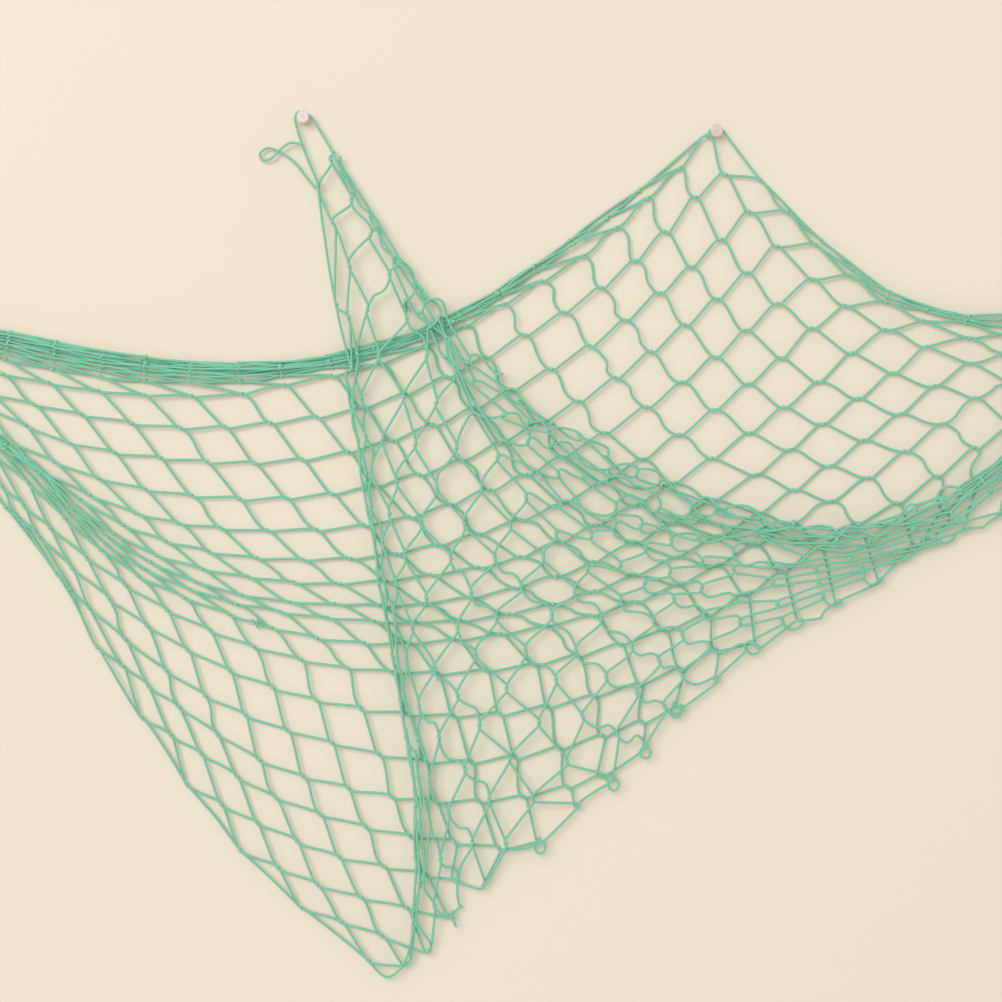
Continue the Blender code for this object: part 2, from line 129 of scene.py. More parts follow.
# Rear strands that rise to the right: a row for each strand, counted down from the top
# edge. Each entry is a crossing strand's number with the knot's place across and down.
REAR_STRANDS_PX = {
    0: ((-20, -109, 350), (-17, 2, 374), (-15, 98, 391), (-13, 191, 396), (-12, 242, 394),
        (-11, 284, 385), (-9, 380, 364), (-7, 465, 326), (-5, 542, 281), (-4, 582, 256),
        (-2, 647, 198), (-1, 679, 168), (0, 707, 136)),
    1: ((-21, -109, 354), (-18, -10, 393), (-16, 82, 415), (-14, 180, 428), (-12, 270, 423),
        (-10, 362, 408), (-8, 447, 377), (-6, 525, 335), (-4, 601, 288), (-2, 666, 232),
        (0, 725, 174), (1, 760, 180)),
    2: ((-22, -109, 357), (-19, -15, 405), (-17, 69, 443), (-15, 160, 458), (-13, 254, 463),
        (-11, 348, 452), (-9, 433, 425), (-7, 511, 390), (-5, 590, 346), (-3, 659, 293),
        (-1, 721, 240), (0, 749, 212), (1, 787, 212), (2, 822, 241)),
    3: ((-23, -109, 360), (-19, 12, 442), (-17, 98, 478), (-15, 192, 496), (-13, 286, 498),
        (-11, 376, 486), (-9, 460, 460), (-7, 540, 423), (-5, 616, 378), (-3, 685, 325),
        (-1, 747, 273), (0, 776, 246), (1, 816, 245), (2, 852, 270), (3, 890, 292)),
    4: ((-24, -109, 364), (-21, -30, 424), (-19, 44, 473), (-17, 136, 513), (-15, 220, 528),
        (-13, 316, 530), (-11, 409, 517), (-9, 489, 490), (-7, 563, 457), (-5, 646, 407),
        (-3, 715, 357), (-1, 777, 304), (0, 812, 279), (1, 850, 276), (2, 887, 297),
        (4, 968, 316)),
    5: ((-25, -109, 368), (-22, -25, 420), (-20, 40, 472), (-18, 123, 525), (-16, 209, 552),
        (-14, 303, 560), (-12, 395, 554), (-10, 479, 534), (-8, 563, 503), (-6, 642, 459),
        (-4, 714, 410), (-2, 781, 358), (0, 846, 306), (1, 886, 302), (3, 965, 320),
        (5, 1045, 316)),
    6: ((-26, -109, 371), (-24, -63, 402), (-21, 42, 471), (-20, 77, 507), (-18, 156, 555),
        (-16, 248, 577), (-14, 339, 584), (-12, 431, 575), (-10, 520, 557), (-8, 596, 525),
        (-6, 674, 483), (-4, 749, 433), (-2, 818, 382), (0, 886, 330), (1, 924, 321),
        (3, 1003, 326), (6, 1088, 318)),
    7: ((-27, -109, 375), (-25, -65, 404), (-22, 38, 474), (-21, 73, 510), (-19, 150, 562),
        (-17, 241, 595), (-15, 334, 604), (-13, 424, 604), (-11, 515, 588), (-9, 594, 562),
        (-7, 672, 523), (-5, 755, 475), (-3, 823, 424), (-1, 893, 373), (0, 925, 347),
        (1, 969, 338), (3, 1040, 334), (5, 1088, 328)),
    8: ((-28, -109, 378), (-26, -67, 407), (-23, 33, 478), (-22, 69, 514), (-20, 144, 569),
        (-18, 236, 604), (-17, 280, 612), (-15, 373, 621), (-13, 462, 621), (-11, 553, 604),
        (-9, 634, 576), (-8, 677, 557), (-6, 759, 513), (-4, 829, 466), (-2, 900, 414),
        (0, 970, 363), (2, 1042, 350), (4, 1088, 340)),
    9: ((-29, -109, 382), (-27, -69, 410), (-24, 28, 483), (-23, 65, 518), (-21, 138, 576),
        (-19, 229, 614), (-18, 271, 628), (-16, 363, 643), (-14, 456, 640), (-12, 546, 626),
        (-10, 636, 602), (-8, 717, 566), (-6, 793, 523), (-4, 869, 478), (-2, 941, 424),
        (-1, 976, 398), (1, 1045, 372), (3, 1088, 352)),
    10: ((-28, -52, 444), (-26, 2, 487), (-24, 50, 528), (-23, 87, 558), (-21, 167, 610),
        (-19, 254, 647), (-17, 347, 668), (-15, 437, 673), (-13, 534, 665), (-11, 620, 644),
        (-9, 707, 615), (-7, 782, 572), (-5, 857, 523), (-4, 898, 503), (-2, 976, 448),
        (0, 1045, 402), (2, 1088, 366)),
    11: ((-27, 5, 507), (-25, 38, 536), (-24, 72, 568), (-22, 147, 626), (-20, 230, 671),
        (-18, 316, 700), (-16, 407, 714), (-14, 500, 714), (-12, 594, 696), (-10, 681, 669),
        (-9, 715, 649), (-8, 757, 646), (-7, 800, 620), (-6, 838, 601), (-5, 880, 580),
        (-4, 915, 545), (-2, 975, 480), (0, 1045, 425), (1, 1088, 380)),
    12: ((-26, 57, 574), (-24, 89, 608), (-22, 166, 671), (-20, 245, 715), (-18, 332, 743),
        (-16, 426, 762), (-14, 515, 757), (-12, 602, 736), (-11, 642, 722), (-10, 680, 706),
        (-9, 716, 680), (-4, 905, 557), (-3, 938, 541), (-2, 966, 528), (-1, 1002, 513),
        (0, 1030, 492), (1, 1052, 468), (2, 1072, 446), (3, 1088, 424), (7, 1089, 422)),
    13: ((-25, 97, 647), (-22, 178, 707), (-20, 259, 760), (-18, 348, 788), (-16, 435, 801),
        (-14, 523, 797), (-13, 567, 787), (-12, 600, 776), (-11, 644, 747)),
    14: ((-24, 142, 718), (-22, 201, 754), (-20, 276, 798), (-18, 366, 827), (-16, 454, 842),
        (-14, 540, 841), (-13, 577, 806), (-12, 611, 779)),
    15: ((-23, 187, 785), (-21, 257, 823), (-19, 339, 857), (-17, 425, 874), (-15, 483, 886)),
    16: ((-22, 240, 850), (-20, 317, 884), (-18, 406, 908), (-17, 451, 915)),
    17: ((-21, 302, 908), (-19, 382, 936), (-18, 428, 950)),
    18: ((-20, 369, 960), (-19, 407, 963)),
}

# The last knot of the rear layer on each strand that falls to the right, at the fold
FOLD_KNOTS = {
    -20: 18, -19: 18, -18: 17, -17: 16, -16: 15, -15: 15, -14: 14, -13: 14, -12: 14,
    -11: 13, -10: 12, -9: 12, -8: 11, -7: 11, -6: 11, -5: 11, -4: 12, -3: 12, -2: 12,
    -1: 12, 0: 12, 1: 12, 2: 12, 3: 12, 4: 12, 5: 12, 6: 12, 7: 12,
}

# Upper outline of the bundle that hangs left of the middle pin, across and down
TOP_OUTLINE_PX = (
    (-109, 314), (0, 329), (50, 341), (100, 351), (150, 358), (200, 362), (250, 363),
    (300, 361), (350, 352), (400, 338), (450, 317), (505, 286), (537, 262), (569, 241),
    (629, 196), (679, 159), (707, 136),
)
# Left side of the front layer, from the tip of the net up to its pin
LEFT_SIDE_PX = (
    (409, 958), (414, 944), (418, 900), (421, 850), (417, 820), (411, 770), (404, 720),
    (393, 660), (382, 605), (373, 550), (366, 505), (358, 450), (352, 400), (344, 350),
    (334, 300), (325, 245), (317, 188),
)
# Side edge of the net, which is the upper edge of the front layer: its knots, by the
# number of the strand that falls to the right
SIDE_EDGE_PX = {
    -9: (319, 187), -8: (333, 153), -7: (377, 222), -6: (416, 290), -5: (452, 322),
    -4: (500, 375), -3: (551, 423), -2: (604, 457), -1: (662, 486), 0: (725, 508),
    1: (792, 523), 2: (858, 525), 3: (914, 508), 4: (968, 494), 5: (1020, 474),
    6: (1054, 440), 7: (1074, 415), 8: (1088, 400),
}
# Top of the front layer, where single knots can be told apart
FLAP_KNOTS_PX = {
    -10: ((28, 319, 186), (27, 334, 225), (26, 350, 267), (25, 368, 310)),
    -9: ((28, 331, 160), (27, 352, 201), (26, 371, 236), (25, 390, 276), (24, 407, 319),
         (23, 427, 356)),
    -8: ((28, 333, 153), (27, 354, 193), (26, 377, 222), (25, 397, 259), (24, 415, 289),
         (23, 440, 317)),
}
BUNDLE_MESHES = 3.5       # meshes beside the left side that are drawn into its bundle
BUNDLE_DRAW = 0.9         # how strongly they are drawn
BUNDLE_RUN = 0.22         # part of the way up over which the bundle forms
SIDE_BOW_MESHES = 3       # meshes beside the left side that follow its bow
SLACK_MESHES = (3, 2)     # meshes where a bundle's slack starts to go, and over which
MESH_REACH_PX = 76.0      # height of an open mesh of the front layer near the fold
SQUEEZE = (1.1, 1.75)     # how much more open than even, at least and at most, it is there

# The gathers at the two outer pins, outside the photograph: where the strands start to
# draw together, where they end, and the height that they draw to
GATHERS_PX = ((-14.0, -109.0, 318.0), (1014.0, 1088.0, 312.0))
GATHERED_SHARE = 0.22     # height of a gather beside that of the strands before it
GATHER_CURVE = 1.5

# Loops over the two pins that show, and the slack loop beside the flap's pin
FLAP_LOOP_PX = (
    (319, 186), (308, 160), (301.5, 143), (297, 128), (295.2, 118), (298, 112), (303.5, 112.6),
    (309, 115.5), (320, 131), (333, 153),
)
SLACK_LOOP_PX = (
    (302.5, 145), (291, 143), (280, 150), (270, 159), (262, 160), (259.5, 154), (267, 148),
    (280, 152), (295, 163), (306, 177), (316, 189),
)
MIDDLE_LOOP_PX = (
    (707, 136), (710.5, 130), (716, 127.2), (721.5, 129.6), (728, 138), (743, 158), (760, 180),
)
LOOP_LIFT = 0.5           # how far these loops stand off the rear layer
SLACK_SWING = 1.3
# The loop of the edge about the tip, the middles of slack loops that hang at the fold, the
# middles of frayed tufts, and a cut end
TIP_LOOP_PX = ((377, 969), (387, 976), (396, 972), (405, 960), (412, 938))
EARS_PX = ((540, 847), (613, 784), (645, 752), (675, 711))
TUFTS_PX = ((257, 623), (406, 306), (542, 478))
CUT_END_PX = ((451, 914), (453.5, 919), (456, 926))
EAR_HALF = (4.1, 4.5)     # half width and half height of a slack loop
EAR_DEGREES = (115, 425)
EAR_STEPS = 22
EAR_SWING = 1.2
EAR_KNOT = (-1.2, 8.0)    # place of its knot from its middle
TUFT_HAIRS = 12
HAIR_RADIUS = 0.38
HAIR_REACH = (2.5, 6.0)
HAIR_RISE = -0.35         # how far a hair stands off the wall beside its reach
HAIR_BEND = 0.6
HAIR_STEPS = 5

# Binding of an outer gather and the loop over its pin
BINDING_TURNS = 3.5
BINDING_STEPS = 72
BINDING_PITCH = 2.1
BINDING_HALF = (5.4, 8.5)  # off the wall, and up
BINDING_OFFSET = (5.0, -1.0, -3.0)      # its middle, from the end of the gather
OUTER_LOOP_RADIUS = 3.6
OUTER_LOOP_STEPS = 28
OUTER_LOOP_TURN = (-0.35, 1.35)         # in half turns
OUTER_LOOP_FEET = (2.0, 4.0)            # half the way between its feet, and their height

PINS_MM = {"left": (-652.0, -131.0), "flap": (-330.0, 11.0), "middle": (0.0, 0.0),
           "right": (292.0, -131.0)}

# The room, in metres
NET_MIDDLE = (-0.17, 0.0, -0.3)
WALL_SIZE = 4.0
LAMP_PLACE = (-1.9, -4.6, 1.0)
LAMP_SIZE = (3.1, 2.5)
LAMP_WATTS = 132.0
LAMP_COLOUR = (1.0, 0.985, 0.965)
ROOM_COLOUR = (1.0, 0.985, 0.96, 1.0)
ROOM_STRENGTH = 0.60
LENS_MM = 70.0
SENSOR_MM = 36.0

# Colours and twist
WALL_CREAM = (0.865, 0.765, 0.635, 1.0)
# The twine's mint colour, lit on the ridges of its plies, and a painted shade for the grooves
# between them
TWINE_GROOVE_PAINTED_SHADE = (0.175, 0.64, 0.385, 1.0)
TWINE_MINT_RIDGE_LIT = (0.42, 0.99, 0.74, 1.0)
TWINE_UNEVEN = (0.90, 0.96, 0.97, 1.0)
PIN_TINTS = ((1.0, 0.84, 0.77, 1.0), (1.0, 0.95, 0.90, 1.0))
PLIES = 3
TWIST = 0.55              # turns in a millimetre of twine


def place(pixel):
    """Real place on the wall, in millimetres, of a point of the photograph."""
    across = (pixel[0] - MIDDLE_PIN_PX[0]) * PIXEL_MM
    up = (MIDDLE_PIN_PX[1] - pixel[1]) * PIXEL_MM
    return np.array((across, up))


def smooth_line(stations, values, at):
    """A cubic through points at uneven stations, with even-handed slopes."""
    stations = np.asarray(stations, dtype=float)
    values = np.asarray(values, dtype=float)
    slope = np.gradient(values, stations, axis=0)
    at = np.clip(at, stations[0], stations[-1])
    k = int(min(max(np.searchsorted(stations, at, side="right") - 1, 0), len(stations) - 2))
    width = stations[k + 1] - stations[k]
    t = (at - stations[k]) / width
    return ((2 * t ** 3 - 3 * t ** 2 + 1) * values[k] + (t ** 3 - 2 * t ** 2 + t) * width * slope[k]
            + (3 * t ** 2 - 2 * t ** 3) * values[k + 1] + (t ** 3 - t ** 2) * width * slope[k + 1])


def along(points, share):
    """The place at a share of a line's length."""
    points = np.asarray(points, dtype=float)
    run = np.concatenate(([0.0], np.cumsum(np.hypot(*np.diff(points, axis=0).T))))
    return smooth_line(run, points, share * run[-1])


def rear_row(row, i):
    """Place of a knot of a rear strand, by the number of the strand that crosses it."""
    table = REAR_STRANDS_PX[row]
    stations = [entry[0] for entry in table]
    values = [place(entry[1:]) for entry in table]
    return smooth_line(stations, values, i)


def bundle_knot(i, j):
    """Place of a knot in the bundle along the top edge, where meshes are pulled shut."""
    base = rear_row(0, i + j)
    ahead = rear_row(0, min(i + j + 1, 0)) - rear_row(0, i + j - 1)
    outline = np.array([place(point) for point in TOP_OUTLINE_PX])
    thick = np.interp(base[0], outline[:, 0], outline[:, 1]) - base[1]
    ahead = ahead / np.hypot(*ahead)
    across = np.array((-ahead[1], ahead[0]))
    share = math.sqrt(2.0 * abs(j) / abs(i + j))
    return base + across * thick * ahead[0] * share


def lattice():
    """Each knot's strand numbers, its first place, and whether the settling may move it."""
    knots = {}
    for row in range(-BUNDLE_ROWS, 0):
        for i in range(-2 * BUNDLE_ROWS - row, row + 1):
            knots[(i, row)] = (bundle_knot(i, row), "rear")
    for row, table in REAR_STRANDS_PX.items():
        for i in range(table[0][0], table[-1][0] + 1):
            if i not in FOLD_KNOTS or row <= FOLD_KNOTS[i]:
                knots[(i, row)] = (rear_row(row, i), "rear")
    for i, fold in FOLD_KNOTS.items():
        last = min(2 * MESHES_DEEP + i, 2 * SIDE_EDGE - i)
        if i > FLAP_STRAND:
            last = min(last, FLAP_TOP_ROW)
        for j in range(fold + 1, last + 1):
            knots[(i, j)] = (front_spot(i, j), "end" if j == last else "front")
    for i, table in FLAP_KNOTS_PX.items():
        for j, across, down in table:
            knots[(i, j)] = (place((across, down)), "end")
    return {key: (gathered(spot), kind) for key, (spot, kind) in knots.items()}


def gathered(spot):
    """Draws the strands together towards the outer pins."""
    spot = np.array(spot)
    for start, end, height in GATHERS_PX:
        first, last = place((start, height)), place((end, height))
        share = min(max((spot[0] - first[0]) / (last[0] - first[0]), 0.0), 1.0)
        spot[1] = last[1] + (spot[1] - last[1]) * (1 - (1 - GATHERED_SHARE) * share ** GATHER_CURVE)
    return spot


def fold_table():
    """The fold, evened out: meshes down, meshes along and place, from right to tip."""
    rows = []
    for i, j in FOLD_KNOTS.items():
        rows.append(((j - i) / 2, (i + j) / 2, *rear_row(j, i)))
    rows = np.array(rows[::-1])
    rows[-1, 2:] = place(LEFT_SIDE_PX[0])
    smooth = rows.copy()
    for _ in range(3):
        smooth[1:-1] = (smooth[:-2] + 2 * smooth[1:-1] + smooth[2:]) / 4
    return smooth


FOLD = fold_table()


def fold_at(down):
    """Meshes along, and place, of the fold where it is so many meshes down."""
    return [np.interp(down, FOLD[:, 0], FOLD[:, k]) for k in (1, 2, 3)]


def front_spot(i, j):
    """First place of a knot of the front layer, between the fold and the net's side edge.

    A line of knots runs from each place of the fold to the edge. Its meshes hang open
    near the fold and are drawn shut, along the edge, near its end.
    """
    down = (j - i) / 2
    along_fold = fold_at(down)
    run = ((i + j) / 2 - along_fold[0]) / (SIDE_EDGE - along_fold[0])
    in_bundle = MESHES_DEEP - down
    if in_bundle < BUNDLE_MESHES:
        drawn = in_bundle * (in_bundle / BUNDLE_MESHES) ** BUNDLE_DRAW
        formed = min(max(run / BUNDLE_RUN, 0.0), 1.0)
        down = MESHES_DEEP - in_bundle + (in_bundle - drawn) * formed
    along_fold = fold_at(down)
    start = np.array(along_fold[1:])
    edge = np.array([place(point) for point in SIDE_EDGE_PX.values()])
    end = smooth_line(list(SIDE_EDGE_PX), edge, SIDE_EDGE - down)
    meshes = SIDE_EDGE - along_fold[0]
    run = min(max(((i + j) / 2 - along_fold[0]) / meshes, 0.02), 1.0)
    reach = MESH_REACH_PX * PIXEL_MM * meshes / np.hypot(*(end - start))
    share = 1 - (1 - run) ** min(max(reach, SQUEEZE[0]), SQUEEZE[1])
    spot = start + (end - start) * share
    side = np.array([place(point) for point in LEFT_SIDE_PX])
    bow = along(side, share) - (side[0] + (side[-1] - side[0]) * share)
    return spot + bow * max(0.0, 1 - (MESHES_DEEP - down) / SIDE_BOW_MESHES)


def settle(knots):
    """Draws the front layer's knots towards where their twine would let them hang.

    Fixed knots hold it back: bars to them, and near them, can stay longer than their twine.
    """
    keys = list(knots)
    index = {key: k for k, key in enumerate(keys)}
    spots = np.array([knots[key][0] for key in keys])
    free = np.array([knots[key][1] == "front" for key in keys])
    more = UNEVEN_DRAWN - UNEVEN_OPEN
    rough = np.array([UNEVEN_OPEN + more * drawn_shut(*key) for key in keys])
    spots[free] += RANDOM.normal(0.0, 1.0, (free.sum(), 2)) * rough[free, None]
    aim = spots.copy()
    bars = [(index[key], index[other]) for key in keys
            for other in ((key[0] + 1, key[1]), (key[0], key[1] + 1)) if other in index]
    bars = np.array(bars)
    cells = []
    for i, j in keys:
        for a, b in (((i, j), (i + 1, j + 1)), ((i + 1, j), (i, j + 1))):
            if a in index and b in index:
                cells.append((index[a], index[b]))
    cells = np.array(sorted(set(cells)))
    loose = free.astype(float)
    for _ in range(SETTLE_ROUNDS):
        spots[free, 1] -= SETTLE_SAG
        spots[free] += (aim[free] - spots[free]) * SETTLE_HOLD
        push(spots, bars, loose, BAR, True)
        push(spots, cells, loose, MESH_GAP, False)
    return keys, index, spots, bars


def push(spots, pairs, loose, limit, longer):
    """Moves paired knots a step towards keeping the limit on their distance."""
    first, second = pairs[:, 0], pairs[:, 1]
    gap = spots[second] - spots[first]
    length = np.maximum(np.hypot(gap[:, 0], gap[:, 1]), 1e-6)
    wrong = length > limit if longer else length < limit
    share = loose[first] + loose[second]
    wrong &= share > 0
    move = np.where(wrong, (length - limit) / length, 0.0) / np.maximum(share, 1.0)
    shift = np.zeros_like(spots)
    count = np.zeros(len(spots))
    np.add.at(shift, first, gap * (move * loose[first])[:, None])
    np.add.at(shift, second, -gap * (move * loose[second])[:, None])
    np.add.at(count, first, wrong)
    np.add.at(count, second, wrong)
    spots += shift / np.maximum(count, 1.0)[:, None] * PUSH


def fold_line():
    """The fold as a line of places, from the tip of the net to the right."""
    return np.array([rear_row(row, i) for i, row in FOLD_KNOTS.items()])


def rippled(base, ripple, spot):
    """A distance from the wall that varies in a gentle wave over the net."""
    height, across, down, shift = ripple
    return base + height * math.sin(spot[0] / across + shift) * math.cos(spot[1] / down)


def depths(keys, knots, spots):
    """Distance of each knot from the wall, in millimetres."""
    fold = fold_line()
    result = np.zeros(len(keys))
    for k, key in enumerate(keys):
        kind = knots[key][1]
        near = np.min(np.hypot(*(fold - spots[k]).T))
        lean = max(0.0, 1 - near / FOLD_BLEND) ** 2
        if kind == "rear":
            level = rippled(REAR_DEPTH, REAR_RIPPLE, spots[k])
            lean = lean if key[0] in FOLD_KNOTS else 0.0
        else:
            level = rippled(FRONT_DEPTH, FRONT_RIPPLE, spots[k])
        level += RANDOM.normal(0.0, DEPTH_NOISE)
        if key[1] < 0:
            level += RANDOM.uniform(-BUNDLE_SPREAD, BUNDLE_SPREAD)
        if kind != "rear":
            top = min(max(1 + spots[k][1] / FLAP_TOP_BLEND, 0.0), 1.0)
            level += (REAR_DEPTH + FLAP_TOP_LIFT - level) * top
        result[k] = level * (1 - lean) + FOLD_DEPTH * lean
    return result


def drawn_shut(i, j):
    """How far the meshes about a knot of the front layer are drawn together, 0 to 1."""
    return min(max(((i + j) / 2 - SIDE_EDGE + DRAWN_MESHES) / DRAWN_BLEND, 0.0), 1.0)


def knot_axes(keys, index, points, front):
    """Direction of each knot: its strands leave at its two ends. Slack knots turn."""
    axes = np.zeros((len(keys), 3))
    for k, (i, j) in enumerate(keys):
        total = np.zeros(3)
        for step, sign in (((1, 0), 1), ((0, 1), 1), ((-1, 0), -1), ((0, -1), -1)):
            other = index.get((i + step[0], j + step[1]))
            if other is not None:
                way = points[other] - points[k]
                total += sign * way / max(np.linalg.norm(way), 1e-6)
        total[1] *= KNOT_FLAT
        turn = KNOT_TURN + DRAWN_TURN * drawn_shut(i, j) * front[k]
        total += RANDOM.normal(0.0, turn, 3) * (1.0, 0.5, 1.0)
        axes[k] = total / max(np.linalg.norm(total), 1e-6)
    return axes


def hermite(start, end, leave, arrive, count):
    """Cubics from start to end, with the directions that they leave and arrive with."""
    t = np.linspace(0.0, 1.0, count)[None, :, None]
    return ((2 * t ** 3 - 3 * t ** 2 + 1) * start[:, None]
            + (t ** 3 - 2 * t ** 2 + t) * leave[:, None]
            + (3 * t ** 2 - 2 * t ** 3) * end[:, None]
            + (t ** 3 - t ** 2) * arrive[:, None])


def run_length(curves):
    """Length of each curve along its points."""
    return np.linalg.norm(np.diff(curves, axis=1), axis=2).sum(axis=1)


def bar_curves(points, axes, bars, length, give, lean, bow):
    """Every bar as a curve from knot to knot, slack ones bowed and sagging.

    A bar shows no more slack than its give, and is shorter than its twine where that binds.
    A bar whose knots stand too far apart spans them, and is longer than its twine.
    """
    first, second = bars[:, 0], bars[:, 1]
    start = points[first] + axes[first] * KNOT_HALF
    end = points[second] - axes[second] * KNOT_HALF
    chord = end - start
    span = np.linalg.norm(chord, axis=1)
    way = chord / np.maximum(span, 1e-6)[:, None]
    lean = np.broadcast_to(lean, len(bars))[:, None]
    leave = lean * axes[first] + (1 - lean) * way
    arrive = lean * axes[second] + (1 - lean) * way
    side = RANDOM.normal(0.0, LEAVE_NOISE, chord.shape)
    leave += side
    arrive -= side
    want = np.maximum(np.minimum(length - 2 * KNOT_HALF, span * (1 + give)), span * TAUT)
    slack = np.clip((want - span) / want, 0.0, 1.0)
    leave[:, 2] -= SAG * slack
    arrive[:, 2] += SAG * slack
    across = np.column_stack((-way[:, 2], np.zeros(len(bars)), way[:, 0]))
    turned = np.sum(across * (axes[first] - axes[second]), axis=1)
    bulge = across * (np.where(turned < 0, -1.0, 1.0) * slack * bow)[:, None]
    leave += bulge
    arrive -= bulge
    low = np.zeros(len(bars))
    high = np.full(len(bars), LONGEST_LEAVE * length)
    for _ in range(HALVINGS):
        middle = (low + high) / 2
        reach = middle[:, None]
        curves = hermite(start, end, leave * reach, arrive * reach, FINE_STEPS)
        short = run_length(curves) < want
        low = np.where(short, middle, low)
        high = np.where(short, high, middle)
    return hermite(start, end, leave * low[:, None], arrive * low[:, None], BAR_STEPS + 1)


def tube_mesh(name, curves, radius, sides, material):
    """Round tubes about curves that all have the same number of points, in millimetres."""
    curves = np.asarray(curves, dtype=float)
    strands, count, _ = curves.shape
    ahead = np.gradient(curves, axis=1)
    ahead /= np.maximum(np.linalg.norm(ahead, axis=2, keepdims=True), 1e-9)
    out = np.cross(ahead, np.array((0.0, 1.0, 0.0)))
    out /= np.maximum(np.linalg.norm(out, axis=2, keepdims=True), 1e-9)
    other = np.cross(ahead, out)
    angle = np.linspace(0.0, 2 * math.pi, sides, endpoint=False)
    ring = (np.cos(angle)[None, None, :, None] * out[:, :, None]
            + np.sin(angle)[None, None, :, None] * other[:, :, None])
    girth = np.broadcast_to(radius, count)[None, :, None, None]
    spots = (curves[:, :, None] + girth * ring).reshape(-1, 3) * MM
    steps = np.linalg.norm(np.diff(curves, axis=1), axis=2)
    run = np.concatenate((np.zeros((strands, 1)), np.cumsum(steps, axis=1)), axis=1)
    a = np.arange(sides)
    b = (a + 1) % sides
    base = (np.arange(strands)[:, None] * count + np.arange(count - 1)[None, :]) * sides
    base = base.reshape(-1, 1)
    faces = np.stack((base + a, base + sides + a, base + sides + b, base + b), axis=2)
    faces = faces.reshape(-1, 4)
    mesh = bpy.data.meshes.new(name)
    mesh.vertices.add(len(spots))
    mesh.vertices.foreach_set("co", spots.ravel())
    mesh.loops.add(faces.size)
    mesh.loops.foreach_set("vertex_index", faces.ravel().astype(np.int32))
    mesh.polygons.add(len(faces))
    mesh.polygons.foreach_set("loop_start", (np.arange(len(faces)) * 4).astype(np.int32))
    mesh.update(calc_edges=True)
    mesh.validate()
    layer = mesh.uv_layers.new(name="twist")
    low = (run[:, :-1].reshape(-1, 1) + np.zeros(sides)).ravel()
    high = (run[:, 1:].reshape(-1, 1) + np.zeros(sides)).ravel()
    here = np.tile(a / sides, strands * (count - 1))
    there = here + 1 / sides
    twist = np.stack((here, low, here, high, there, high, there, low), axis=1)
    layer.data.foreach_set("uv", twist.ravel().astype(np.float32))
    mesh.polygons.foreach_set("use_smooth", np.ones(len(faces), dtype=bool))
    mesh.materials.append(material)
    obj = bpy.data.objects.new(name, mesh)
    bpy.context.scene.collection.objects.link(obj)
    return obj


def twine_material():
    """Twisted mint green twine: plies wound about its run, with painted shade darkening the grooves
    between them, uneven and a little fuzzy.
    """
    material = bpy.data.materials.new("mint_twine")
    material.use_nodes = True
    nodes = material.node_tree.nodes
    links = material.node_tree.links
    shader = nodes["Principled BSDF"]
    uv = nodes.new("ShaderNodeUVMap")
    uv.uv_map = "twist"
    parts = nodes.new("ShaderNodeSeparateXYZ")
    links.new(uv.outputs["UV"], parts.inputs[0])
    turn = nodes.new("ShaderNodeMath")
    turn.operation = "MULTIPLY_ADD"
    turn.inputs[1].default_value = TWIST
    links.new(parts.outputs["Y"], turn.inputs[0])
    links.new(parts.outputs["X"], turn.inputs[2])
    plies = nodes.new("ShaderNodeMath")
    plies.operation = "MULTIPLY"
    plies.inputs[1].default_value = 2 * PLIES * math.pi
    links.new(turn.outputs[0], plies.inputs[0])
    wave = nodes.new("ShaderNodeMath")
    wave.operation = "SINE"
    links.new(plies.outputs[0], wave.inputs[0])
    bump = nodes.new("ShaderNodeBump")
    bump.inputs["Strength"].default_value = 0.6
    bump.inputs["Distance"].default_value = 0.0004
    links.new(wave.outputs[0], bump.inputs["Height"])
    links.new(bump.outputs["Normal"], shader.inputs["Normal"])
    where = nodes.new("ShaderNodeNewGeometry")
    patch = nodes.new("ShaderNodeTexNoise")
    patch.inputs["Scale"].default_value = 45.0
    patch.inputs["Detail"].default_value = 3.0
    links.new(where.outputs["Position"], patch.inputs["Vector"])
    shade = nodes.new("ShaderNodeMapRange")
    shade.inputs["From Min"].default_value = -1.0
    shade.inputs["From Max"].default_value = 1.0
    links.new(wave.outputs[0], shade.inputs["Value"])
    # Painted shade: the ply wave colours the grooves darker and the ridges lighter, beside the bump
    # that carves them
    groove_painted_shade = nodes.new("ShaderNodeMix")
    groove_painted_shade.data_type = "RGBA"
    groove_painted_shade.inputs[6].default_value = TWINE_GROOVE_PAINTED_SHADE
    groove_painted_shade.inputs[7].default_value = TWINE_MINT_RIDGE_LIT
    links.new(shade.outputs[0], groove_painted_shade.inputs[0])
    uneven = nodes.new("ShaderNodeMix")
    uneven.data_type = "RGBA"
    uneven.blend_type = "MULTIPLY"
    uneven.inputs[7].default_value = TWINE_UNEVEN
    links.new(patch.outputs[0], uneven.inputs[0])
    links.new(groove_painted_shade.outputs[2], uneven.inputs[6])
    links.new(uneven.outputs[2], shader.inputs["Base Color"])
    shader.inputs["Roughness"].default_value = 0.55
    shader.inputs["Sheen Weight"].default_value = 0.25
    shader.inputs["Sheen Roughness"].default_value = 0.4
    return material


